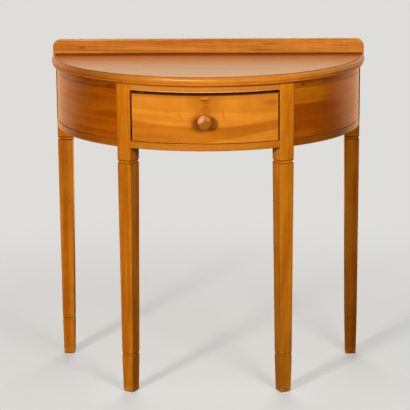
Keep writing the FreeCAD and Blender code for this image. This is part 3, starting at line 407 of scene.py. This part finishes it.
# The first shade reddens the gold further along the panel; the second darkens its end as painted shade.
for low, high, shade in ((0.30, 0.37, (250, 230, 150)), (end_start, end_full, (232, 222, 200))):
    right_colour = darken_wood(right_tree, ramp(right_tree, right_parts["X"], low, high), right_colour, shade)
right_colour = add_mark(right_tree, right_colour, right_along, (0.262, 0.6480), (0.060, 0.0180),
                        (190, 100, 16), 0.6, 0.0, "MIX")
fill(right_tree, right_shader, {"Base Color": right_colour})
lay_lacquer(right_tree, right_shader)
finish_nodes(right_finish, ["apron_panel_right"])

# Dowels: short turned beech pins, glued across the joints of the rails and the legs.
# They stay as they come from the lathe, unstained.
finish_straight("plain_dowel", "x", (226, 190, 142), (204, 164, 112), 0.4, 0.3,
                ["apron_dowels", "front_rail_dowels"])

# Runners, kickers and guides: sawn pine bars that carry the drawer and keep it straight.
# They are let into the rails or glued, and are left bare because nobody sees them.
finish_straight("plain_bar", "y", (226, 184, 124), (196, 148, 88), 0.8, 0.4,
                ["drawer_%s_%s" % (name, hand) for name in ("runner", "kicker", "guide")
                 for hand in ("left", "right")])

# Blocks: short pine offcuts, glued into the corners under the top and screwed up into it,
# and two stops on the lower front rail. They are bare like the bars.
finish_straight("plain_block", "x", (222, 180, 122), (190, 142, 84), 0.8, 0.4,
                ["drawer_stops"] + ["top_block_%s_%s" % (name, hand) for name in ("back", "side")
                                    for hand in ("left", "right")])

# Top board: a half-round glued up from four boards, with a round nose under a small quirk.
# Its fibres run from side to side. Stain and painted shade lie in the quirk.
# Painted shade lies under the nose, on the nose's left part and along the gallery board.
# The nose's ends carry a painted sheen, and its lower lip a painted highlight.
board_width, board_shift, board_lift = 0.104, 0.73, 0.31
quirk_radius, under_height, lip_height = 0.3905, (0.7800, 0.7822), 0.7834
top_finish, top_tree, top_shader, top_place = new_finish("stained_top")
top_parts = put(top_tree, "SeparateXYZ", {0: top_place}).outputs
top_count = work(top_tree, "FLOOR", work(top_tree, "DIVIDE", top_parts["Y"], board_width))
top_shift = put(top_tree, "CombineXYZ", {0: work(top_tree, "MULTIPLY", top_count, board_shift),
                                         2: work(top_tree, "MULTIPLY", top_count, board_lift)}).outputs[0]
top_along = put(top_tree, "VectorMath", {0: top_place, 1: top_shift}, operation="ADD").outputs[0]
top_colour = draw_wood(top_tree, top_shader, top_along, (225, 137, 24), (198, 112, 13), 0.5, 0.4)
top_tone = put(top_tree, "TexWhiteNoise", {"W": top_count}, noise_dimensions="1D").outputs["Value"]
top_tone = work(top_tree, "MULTIPLY", top_tone, 0.5)

# The round part is all that lies past the quirk.
top_reach = put(top_tree, "SeparateXYZ", {0: along_bend(top_tree, top_place)}).outputs["Z"]
top_past = work(top_tree, "SUBTRACT", top_reach, quirk_radius - bend_radius)
top_flat = ramp(top_tree, top_past, -0.0003, 0.0003, 1.0, 0.0)
top_round = work(top_tree, "SUBTRACT", 1.0, top_flat)
top_across = work(top_tree, "ABSOLUTE", top_parts["X"])
# Painted shade on the nose's left part, along the gallery board and under the nose; stain and painted shade
# in the quirk.
top_left_shade_and_dull = ramp(top_tree, top_parts["X"], -0.30, -0.10, 0.9, 0.0)
top_back_shade_and_dull = ramp(top_tree, top_parts["Y"], 0.1200, 0.1740)
top_under_painted_shade = ramp(top_tree, top_parts["Z"], *under_height, 0.6, 0.0)
top_quirk_stain_and_shade = ramp(top_tree, work(top_tree, "ABSOLUTE", top_past), 0.0006, 0.0026, 0.8, 0.0)
top_quirk_stain_and_shade = work(top_tree, "MULTIPLY", top_quirk_stain_and_shade, ramp(top_tree, top_across, 0.26, 0.38, 0.5, 0.1))
for share, shade in ((top_tone, (238, 232, 222)), (top_flat, (228, 199, 176)),
                     (work(top_tree, "MULTIPLY", top_left_shade_and_dull, top_round), (186, 168, 100)),
                     (top_back_shade_and_dull, (160, 130, 80)), (top_under_painted_shade, (150, 84, 22)), (top_quirk_stain_and_shade, (178, 120, 56))):
    top_colour = darken_wood(top_tree, share, top_colour, shade)

# A painted sheen at the ends of the nose, and a painted highlight along its lower lip.
top_end_painted_sheen = ramp(top_tree, top_across, 0.310, 0.385, 0.0, 0.75)
top_lip_painted_highlight = ramp(top_tree, apart(top_tree, top_parts["Z"], lip_height), 0.0003, 0.0013, 0.6, 0.0)
for share, shade in ((top_end_painted_sheen, (228, 138, 88)), (top_lip_painted_highlight, (246, 182, 112))):
    share = work(top_tree, "MULTIPLY", share, top_round)
    top_colour = blend_colour(top_tree, share, top_colour, tint(*shade))

# The lacquer is dull at the ends of the nose, on its left part and along the gallery board.
top_dull = work(top_tree, "MAXIMUM", ramp(top_tree, top_across, 0.22, 0.36, 0.0, 0.85), top_left_shade_and_dull)
top_dull = work(top_tree, "MAXIMUM", work(top_tree, "MULTIPLY", top_dull, top_round), top_back_shade_and_dull)
lay_lacquer(top_tree, top_shader, 0.3, 1.45)
fill(top_tree, top_shader, {"Base Color": top_colour,
                            "Coat Weight": work(top_tree, "SUBTRACT", 1.0, top_dull)})
finish_nodes(top_finish, ["top_board"])

# Gallery board: a low upright board with rounded corners, screwed to the top's straight edge.
# It is cut from one plank, with the fibres from side to side. It has a few dark streaks, and painted shade
# lies along its joint with the top.
top_height = 0.8
gallery_finish, gallery_tree, gallery_shader, gallery_place = new_finish("stained_gallery")
gallery_along = along_axis(gallery_tree, gallery_place, "x", (0.7, 0.3, 0.4))
gallery_colour = draw_wood(gallery_tree, gallery_shader, gallery_along,
                           (223, 138, 54), (187, 105, 32), 0.9, 0.5)
gallery_parts = put(gallery_tree, "SeparateXYZ", {0: gallery_place}).outputs
gallery_face = put(gallery_tree, "CombineXYZ", {0: gallery_parts["X"], 1: gallery_parts["Z"]}).outputs[0]
for mark in (((0.140, 0.8078), (0.060, 0.0030), (176, 140, 90), 0.6),
             ((0.160, 0.8236), (0.036, 0.0026), (170, 130, 80), 0.6),
             ((-0.323, 0.8145), (0.014, 0.0042), (190, 150, 100), 0.6),
             ((0.330, 0.8180), (0.050, 0.0030), (200, 160, 110), 0.5)):
    gallery_colour = add_mark(gallery_tree, gallery_colour, gallery_face, *mark)
gallery_gap = apart(gallery_tree, gallery_parts["Z"], top_height)
gallery_joint_painted_shade = ramp(gallery_tree, gallery_gap, 0.0002, 0.0012, 0.7, 0.0)
gallery_colour = darken_wood(gallery_tree, gallery_joint_painted_shade, gallery_colour, (120, 84, 40))
fill(gallery_tree, gallery_shader, {"Base Color": gallery_colour})
lay_lacquer(gallery_tree, gallery_shader)
finish_nodes(gallery_finish, ["back_upstand"])

# Screws: countersunk steel wood screws of the gallery board, the top and the drawer bottom,
# and the machine screw of the knob. They are bright zinc, a little dulled. The wood screws have
# cross slots, each turned as it was left when it came tight.
steel_finish, steel_tree, steel_shader, steel_place = new_finish("screw_zinc")
steel_noise = put(steel_tree, "TexNoise", {"Vector": steel_place, "Scale": 900.0, "Detail": 2.0})
steel_cloud = steel_noise.outputs["Fac"]
steel_colour = blend_colour(steel_tree, steel_cloud, tint(176, 178, 182), tint(214, 214, 212))
fill(steel_tree, steel_shader, {"Base Color": steel_colour, "Metallic": 1.0,
                                "Roughness": ramp(steel_tree, steel_cloud, 0.3, 0.7, 0.28, 0.42)})
finish_nodes(steel_finish, ["knob_screw"])

# The slots' sizes are shares of the head's width and height, and the shank's of its full radius.
slot_length, slot_width, slot_depth = 0.56, 0.13, 0.6
shank_start, shank_tip = 0.96, 0.3


def add_step(tree, kind, inputs, **settings):
    """Adds a geometry node with its settings and inputs, and gives back its first output."""
    node = tree.nodes.new(kind)
    for name, value in settings.items():
        setattr(node, name, value)
    return fill(tree, node, inputs).outputs[0]


def make_screw_tree():
    """A tree that drives a screw with a countersunk, cross-slotted head in at each point of a mesh."""
    tree = bpy.data.node_groups.new("countersunk_screws", "GeometryNodeTree")
    lengths = ("Head Radius", "Head Height", "Shank Radius", "Length",
               "Slot Length", "Slot Width", "Slot Depth")
    kinds = [("Geometry", "Geometry")] + [(name, "Float") for name in lengths]
    for name, kind in kinds + [("Way", "Vector"), ("Seed", "Int"), ("Finish", "Material")]:
        tree.interface.new_socket(name, in_out="INPUT", socket_type="NodeSocket" + kind)
    tree.interface.new_socket("Geometry", in_out="OUTPUT", socket_type="NodeSocketGeometry")
    given = tree.nodes.new("NodeGroupInput").outputs
    result = tree.nodes.new("NodeGroupOutput").inputs
    head = add_step(tree, "GeometryNodeMeshCone",
                    {"Vertices": 32, "Radius Bottom": given["Head Radius"],
                     "Radius Top": given["Shank Radius"], "Depth": given["Head Height"]})
    sunk = work(tree, "MULTIPLY", given["Head Height"], 0.5)
    shank = add_step(tree, "GeometryNodeMeshCone",
                     {"Vertices": 24,
                      "Radius Bottom": work(tree, "MULTIPLY", given["Shank Radius"], shank_start),
                      "Radius Top": work(tree, "MULTIPLY", given["Shank Radius"], shank_tip),
                      "Depth": work(tree, "SUBTRACT", given["Length"], sunk)})
    shank = add_step(tree, "GeometryNodeTransform",
                     {"Geometry": shank, "Translation": put(tree, "CombineXYZ", {2: sunk}).outputs[0]})
    joined = tree.nodes.new("GeometryNodeMeshBoolean")
    joined.operation = "UNION"
    tree.links.new(head, joined.inputs["Mesh 2"])
    tree.links.new(shank, joined.inputs["Mesh 2"])
    cut = fill(tree, tree.nodes.new("GeometryNodeMeshBoolean"), {"Mesh 1": joined.outputs["Mesh"]})
    cut.operation = "DIFFERENCE"
    depth = work(tree, "MULTIPLY", given["Slot Depth"], 2.0)
    for along, across in (("Slot Length", "Slot Width"), ("Slot Width", "Slot Length")):
        size = put(tree, "CombineXYZ", {0: given[along], 1: given[across], 2: depth}).outputs[0]
        tree.links.new(add_step(tree, "GeometryNodeMeshCube", {"Size": size}), cut.inputs["Mesh 2"])
    aim = add_step(tree, "FunctionNodeAlignRotationToVector", {"Vector": given["Way"]}, axis="Z")
    screws = add_step(tree, "GeometryNodeInstanceOnPoints",
                      {"Points": given["Geometry"], "Instance": cut.outputs["Mesh"], "Rotation": aim})
    chance = tree.nodes.new("FunctionNodeRandomValue")
    chance.data_type = "FLOAT"
    fill(tree, chance, {2: 0.0, 3: math.pi, "Seed": given["Seed"]})
    spin = put(tree, "CombineXYZ", {2: chance.outputs[1]}).outputs[0]
    screws = add_step(tree, "GeometryNodeRotateInstances", {"Instances": screws, "Rotation": spin})
    screws = add_step(tree, "GeometryNodeRealizeInstances", {"Geometry": screws})
    screws = add_step(tree, "GeometryNodeSetMaterial", {"Geometry": screws, "Material": given["Finish"]})
    tree.links.new(screws, result["Geometry"])
    return tree


screw_tree = make_screw_tree()


def find_heads(node, way):
    """The middles of the head faces of a node's screws, which run along way, and how long they are."""
    shape = bmesh.new()
    shape.from_mesh(nodes[node].data)
    bmesh.ops.remove_doubles(shape, verts=shape.verts, dist=1e-6)
    heads, lengths = [], []
    for first in shape.verts:
        if first.tag:
            continue
        first.tag = True
        screw = [first]
        for vert in screw:
            for edge in vert.link_edges:
                other = edge.other_vert(vert)
                if not other.tag:
                    other.tag = True
                    screw.append(other)
        low = Vector(min(vert.co[axis] for vert in screw) for axis in range(3))
        high = Vector(max(vert.co[axis] for vert in screw) for axis in range(3))
        lengths.append(abs((high - low).dot(way)))
        heads.append((low + high) / 2 - way * lengths[-1] / 2)
    shape.free()
    return heads, min(lengths)


def drive_screws(node, body, way, head_width, head_height, shank_width, seed):
    """Puts cross-slotted screws in the place of a node's plain ones, as one mesh that rides a body."""
    heads, length = find_heads(node, way)
    points = bpy.data.meshes.new(node + "_points")
    points.from_pydata(heads, [], [])
    driven = bpy.data.objects.new(node + "_driven", points)
    bpy.context.scene.collection.objects.link(driven)
    modifier = driven.modifiers.new("screws", "NODES")
    modifier.node_group = screw_tree
    values = {"Head Radius": head_width / 2, "Head Height": head_height, "Shank Radius": shank_width / 2,
              "Length": length, "Slot Length": head_width * slot_length,
              "Slot Width": head_width * slot_width, "Slot Depth": head_height * slot_depth,
              "Way": way, "Seed": seed, "Finish": steel_finish}
    for socket in screw_tree.interface.items_tree:
        if socket.in_out == "INPUT" and socket.name in values:
            modifier[socket.identifier] = values[socket.name]
    view = bpy.context.evaluated_depsgraph_get()
    driven_mesh = bpy.data.meshes.new_from_object(driven.evaluated_get(view), depsgraph=view)
    driven.modifiers.remove(modifier)
    driven.data = driven_mesh
    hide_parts(node)
    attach(driven, body)


forwards, upwards = Vector((0, -1, 0)), Vector((0, 0, 1))
drive_screws("upstand_screws", "table", forwards, 0.008, 0.002, 0.004, 1)
drive_screws("top_screws", "table", upwards, 0.008, 0.002, 0.004, 2)
drive_screws("drawer_bottom_screws", "drawer", upwards, 0.006, 0.0015, 0.003, 3)

# Drawer front: a bowed board of the same timber, stained and lacquered on its face.
# It has a small eye high in the middle with a darker funnel below it, a smoky band of heartwood
# along its lower third and a paler wedge in the lower right corner. A painted shadow lies round the knob,
# and painted shade darkens its upper part, its top edge and its top face.
smoke_height, smoke_wave, smoke_bend = 0.677, 0.008, 0.33
wedge_height, wedge_slope = 0.641, 0.16
face_finish, face_tree, face_shader, face_place = new_finish("stained_drawer_front")
face_along = along_bend(face_tree, face_place)
face_colour = draw_wood(face_tree, face_shader, face_along, (235, 148, 46), (211, 124, 28), 0.45, 0.45)
face_parts = put(face_tree, "SeparateXYZ", {0: face_along}).outputs
face_side, face_up = face_parts["X"], face_parts["Y"]
face_bend = work(face_tree, "MULTIPLY", work(face_tree, "MULTIPLY", face_side, face_side), smoke_bend)
face_wave = streaks(face_tree, face_along, (9, 60), 2)
face_wave = work(face_tree, "MULTIPLY_ADD", face_wave, smoke_wave, smoke_height)
face_below = work(face_tree, "SUBTRACT", work(face_tree, "ADD", face_bend, face_wave), face_up)
face_smoke = ramp(face_tree, face_below, -0.002, 0.004)
face_slope = work(face_tree, "MULTIPLY_ADD", face_side, wedge_slope, wedge_height)
face_wedge = ramp(face_tree, work(face_tree, "SUBTRACT", face_slope, face_up), -0.002, 0.002, 1.0, 0.25)
face_smoke = work(face_tree, "MULTIPLY", face_smoke, face_wedge)
face_colour = darken_wood(face_tree, face_smoke, face_colour, (228, 216, 180))
# The fourth mark is a painted shadow round the knob.
for mark in (((0.002, 0.7434), (0.0190, 0.0040), (170, 130, 80), 0.8),
             ((0.003, 0.7372), (0.0140, 0.0030), (206, 176, 116), 0.7),
             ((0.003, 0.7285), (0.0085, 0.0030), (206, 176, 116), 0.6),
             ((-0.004, 0.6905), (0.0420, 0.0300), (160, 106, 48), 1.0),
             ((0.003, 0.7200), (0.0150, 0.0260), (236, 226, 204), 0.8),
             ((0.002, 0.7340), (0.0620, 0.0460), (216, 206, 176), 0.8),
             ((0.0750, 0.6680), (0.1000, 0.0290), (234, 228, 200), 1.0),
             ((-0.0583, 0.7058), (0.0056, 0.0150), (216, 190, 140), 0.3, 0.47),
             ((0.0444, 0.7067), (0.0026, 0.0220), (206, 180, 120), 0.55, 0.14),
             ((0.1640, 0.7340), (0.0300, 0.0120), (226, 210, 180), 0.8),
             ((0.001, 0.7492), (0.0130, 0.0044), (236, 156, 62), 0.7, 0.0, "MIX")):
    face_colour = add_mark(face_tree, face_colour, face_along, *mark)
# Painted shade: the upper part of the face is darkened, and its top edge and top face more.
face_top_painted_shade = ramp(face_tree, face_up, 0.7420, 0.7540)
face_edge_shade_and_dull = ramp(face_tree, face_up, 0.7536, 0.7552, 0.0, 0.85)
for share, shade in ((face_top_painted_shade, (230, 224, 214)), (face_edge_shade_and_dull, (132, 84, 40))):
    face_colour = darken_wood(face_tree, share, face_colour, shade)
lay_lacquer(face_tree, face_shader)
fill(face_tree, face_shader, {"Base Color": face_colour,
                              "Coat Weight": work(face_tree, "SUBTRACT", 1.0, face_edge_shade_and_dull)})
finish_nodes(face_finish, ["drawer_front"])

# Drawer sides, back and bottom: planed pine boards and a thin panel, dovetailed, let in and
# grooved together. They are left bare and keep their pale colour.
finish_straight("plain_drawer_side", "y", (232, 190, 130), (206, 158, 98), 0.8, 0.4,
                ["drawer_side_left", "drawer_side_right"])
finish_straight("plain_drawer_bottom", "x", (228, 190, 138), (208, 164, 110), 0.7, 0.4,
                ["drawer_back", "drawer_bottom"])

# Knob: a turned mushroom of the same timber, stained and polished, on the middle of the drawer.
# It is turned across the fibres, so its face shows level streaks. Its face has two painted highlights,
# and painted shade lies round its neck.
neck_start, neck_full = -0.2136, -0.2106
knob_finish, knob_tree, knob_shader, knob_place = new_finish("stained_knob")
knob_along = along_axis(knob_tree, knob_place, "x")
knob_colour = draw_wood(knob_tree, knob_shader, knob_along, (180, 104, 28), (146, 76, 12), 0.8, 0.5)
knob_parts = put(knob_tree, "SeparateXYZ", {0: knob_place}).outputs
knob_face = put(knob_tree, "CombineXYZ", {0: knob_parts["X"], 1: knob_parts["Z"]}).outputs[0]
# Two painted highlights on the knob's face.
for mark in (((-0.0080, 0.7015), (0.0150, 0.0095), (250, 180, 120), 0.75, 0.75, "MIX"),
             ((0.0070, 0.7040), (0.0130, 0.0075), (232, 152, 88), 0.45, -0.6, "MIX")):
    knob_colour = add_mark(knob_tree, knob_colour, knob_face, *mark)
# Painted shade round the knob's neck.
knob_neck_painted_shade = ramp(knob_tree, knob_parts["Y"], neck_start, neck_full, 0.0, 0.9)
knob_colour = darken_wood(knob_tree, knob_neck_painted_shade, knob_colour, (120, 70, 24))
fill(knob_tree, knob_shader, {"Base Color": knob_colour, "IOR": 1.9, "Specular IOR Level": 0.5,
                              "Specular Tint": tint(255, 222, 186)})
finish_nodes(knob_finish, ["drawer_knob"])

# Ground: a wide plain pale sheet that the table stands on, which keeps the table's shadow.
# It throws back a warm dim light, and far from the table it turns to an even pale tone.
bpy.ops.mesh.primitive_circle_add(vertices=96, radius=30, fill_type="NGON")
ground = bpy.context.object
ground.name = "ground"
ground_finish, ground_tree, ground_shader, ground_place = new_finish("pale_ground")
ground_rays = put(ground_tree, "LightPath", {}).outputs
ground_clear = work(ground_tree, "MAXIMUM", ground_rays["Is Camera Ray"], ground_rays["Is Transmission Ray"])
ground_colour = blend_colour(ground_tree, ground_clear, tint(104, 84, 62), tint(240, 239, 236))
fill(ground_tree, ground_shader, {"Base Color": ground_colour, "Roughness": 0.9, "Specular IOR Level": 0.0})
ground_reach = put(ground_tree, "VectorMath", {0: ground_place}, operation="LENGTH").outputs["Value"]
ground_behind = put(ground_tree, "SeparateXYZ", {0: ground_place}).outputs["Y"]
ground_mirror = work(ground_tree, "MULTIPLY", ground_rays["Is Glossy Ray"],
                     ramp(ground_tree, ground_behind, 1.0, 2.4))
ground_seen = work(ground_tree, "MULTIPLY", ground_clear,
                   ramp(ground_tree, ground_reach, 0.4, 1.8, 0.45, 1.0))
ground_share = work(ground_tree, "MAXIMUM", ground_seen, ground_mirror)
ground_pale = blend_colour(ground_tree, ground_clear, tint(255, 190, 140), tint(222, 221, 218))
ground_glow = work(ground_tree, "MULTIPLY_ADD", ground_clear, -0.2, 1.2)
ground_far = put(ground_tree, "Emission", {"Color": ground_pale, "Strength": ground_glow}).outputs[0]
ground_mix = put(ground_tree, "MixShader", {0: ground_share, 1: ground_shader.outputs[0], 2: ground_far})
ground_tree.links.new(ground_mix.outputs[0], ground_tree.nodes["Material Output"].inputs["Surface"])
ground.data.materials.append(ground_finish)

# Light: a soft panel at the left front, a weaker and nearer one at the right front, both low, and
# a wide one high behind. These three make no shine. A fourth one, high at the left front, makes only
# shine. The room has a pale side behind the table and a dim side in front of it.
panel_aim, panel_colour = Vector((0, -0.1, 0.62)), (1.0, 0.98, 0.95)


def hang_panel(name, angle, rise, distance, width, power):
    """A soft light panel at an angle to the right from straight ahead, aimed at the drawer."""
    lamp = bpy.data.lights.new(name, "AREA")
    lamp.shape = "DISK"
    lamp.size = width
    lamp.energy = power
    lamp.color = panel_colour
    turn, tilt = math.radians(angle), math.radians(rise)
    way = Vector((math.sin(turn) * math.cos(tilt), -math.cos(turn) * math.cos(tilt), math.sin(tilt)))
    panel = bpy.data.objects.new(name, lamp)
    panel.location = panel_aim + way * distance
    panel.rotation_euler = way.to_track_quat("Z", "Y").to_euler()
    panel.visible_camera = False
    bpy.context.scene.collection.objects.link(panel)
    return panel


for panel in (hang_panel("panel_left", -31, 17.5, 4.0, 0.6, 118),
              hang_panel("panel_right", 30, 25, 2.2, 0.8, 25),
              hang_panel("panel_back", 180, 40, 4.0, 2.5, 75)):
    panel.visible_glossy = False
shine_panel = hang_panel("panel_shine", -24, 52, 4.0, 1.4, 85)
shine_panel.visible_diffuse = False

world = bpy.data.worlds.new("studio")
bpy.context.scene.world = world
world.use_nodes = True
sky = world.node_tree
sky_rays = put(sky, "LightPath", {}).outputs
sky_way = put(sky, "SeparateXYZ", {0: put(sky, "TexCoord", {}).outputs["Generated"]}).outputs
sky_gloss = ramp(sky, sky_way["Y"], -0.2, 0.6, 0.04, 1.08)
sky_light = put(sky, "Background", {"Color": (1, 1, 1, 1), "Strength": 0.04}).outputs[0]
sky_shine = put(sky, "Background", {"Color": (1.0, 0.92, 0.63, 1), "Strength": sky_gloss}).outputs[0]
sky_view = put(sky, "Background", {"Color": tint(222, 221, 218), "Strength": 1.0}).outputs[0]
sky_mirror = work(sky, "MAXIMUM", sky_rays["Is Glossy Ray"], sky_rays["Is Transmission Ray"])
sky_first = put(sky, "MixShader", {0: sky_mirror, 1: sky_light, 2: sky_shine}).outputs[0]
sky_all = put(sky, "MixShader", {0: sky_rays["Is Camera Ray"], 1: sky_first, 2: sky_view}).outputs[0]
sky.links.new(sky_all, sky.nodes["World Output"].inputs["Surface"])

# Camera: a long lens above the table and a little to the right, looking down on it with a small roll.
focal_pixels, picture_pixels, sensor_width = 1747.98, 410, 36
lens = bpy.data.cameras.new("camera")
lens.sensor_width = sensor_width
lens.lens = focal_pixels / picture_pixels * sensor_width
camera = bpy.data.objects.new("camera", lens)
camera_place = (0.103865, -4.255812, 1.455469)
yaw, pitch, roll = (math.radians(value) for value in (-1.47111, 13.34049, -0.407))
camera.matrix_world = (Matrix.Translation(camera_place) @ Matrix.Rotation(-yaw, 4, "Z")
                       @ Matrix.Rotation(math.pi / 2 - pitch, 4, "X") @ Matrix.Rotation(roll, 4, "Z"))
bpy.context.scene.collection.objects.link(camera)
bpy.context.scene.camera = camera
bpy.context.scene.view_settings.view_transform = "Standard"
